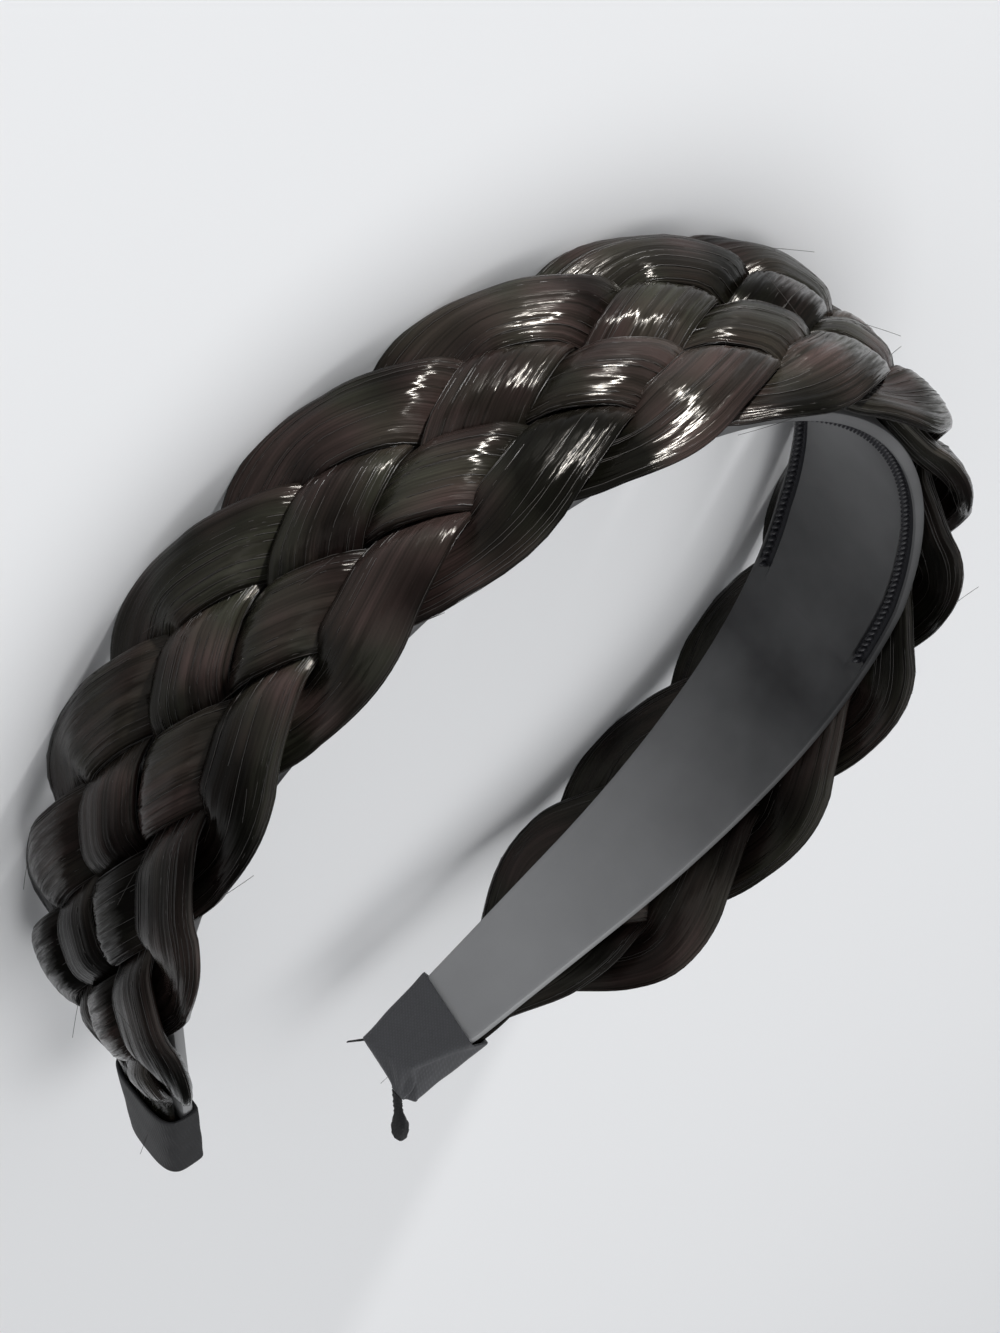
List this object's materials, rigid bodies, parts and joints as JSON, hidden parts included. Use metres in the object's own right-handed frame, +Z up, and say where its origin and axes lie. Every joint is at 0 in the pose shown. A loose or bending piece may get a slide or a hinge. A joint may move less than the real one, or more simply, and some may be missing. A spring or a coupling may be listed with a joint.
{
  "type": "braided hair headband",
  "caption": "Open headband for the hair: a toothed plastic band under a wide flat plait of thick synthetic hair strands, with cloth sleeves over both tips.",
  "frame": {"origin": "middle of the footprint of the headband as it lies on its side, on the surface that it lies on", "axes": "+X from the wearer's left tip side to the right tip side, +Y towards the crown, +Z up across the band's width"},
  "size_m": [0.14, 0.1544, 0.0355],
  "materials": {
    "band_plastic": "dark grey satin moulded plastic",
    "hair": "brown black synthetic hair, combed and glossy",
    "sleeve_cloth": "dark slate thin cloth, folded and tied"
  },
  "bodies": {
    "root": {"plastic_band": "band_plastic", "strand_1": "hair", "strand_2": "hair", "strand_3": "hair", "strand_4": "hair", "strand_5": "hair", "left_end_sleeve": "sleeve_cloth", "right_end_sleeve": "sleeve_cloth", "right_tied_tail": "sleeve_cloth"}
  },
  "joints": []
}
